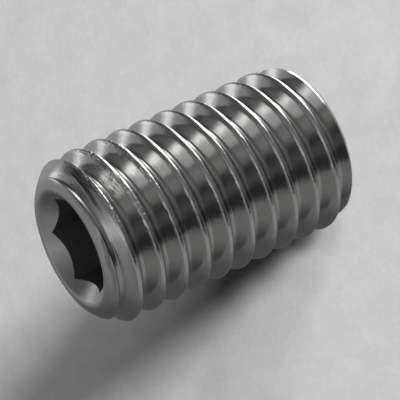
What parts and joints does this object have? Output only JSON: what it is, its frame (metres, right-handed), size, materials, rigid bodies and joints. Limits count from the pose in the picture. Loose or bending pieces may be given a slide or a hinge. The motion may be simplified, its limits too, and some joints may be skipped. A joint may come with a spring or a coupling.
{
  "type": "grub set screw",
  "caption": "Headless set screw with a hexagon socket in one end, a flat chamfered point and a coarse right-hand thread over its whole length.",
  "frame": {"origin": "centre of the flat point face, which the screw stands on", "axes": "+Z along the screw's axis, from the point to the socket end; +X lies 4 degrees from a corner of the hexagon"},
  "size_m": [0.01, 0.01, 0.0162],
  "materials": {
    "steel": "bright rolled and turned stainless steel"
  },
  "bodies": {
    "root": {"set_screw": "steel"}
  },
  "joints": []
}
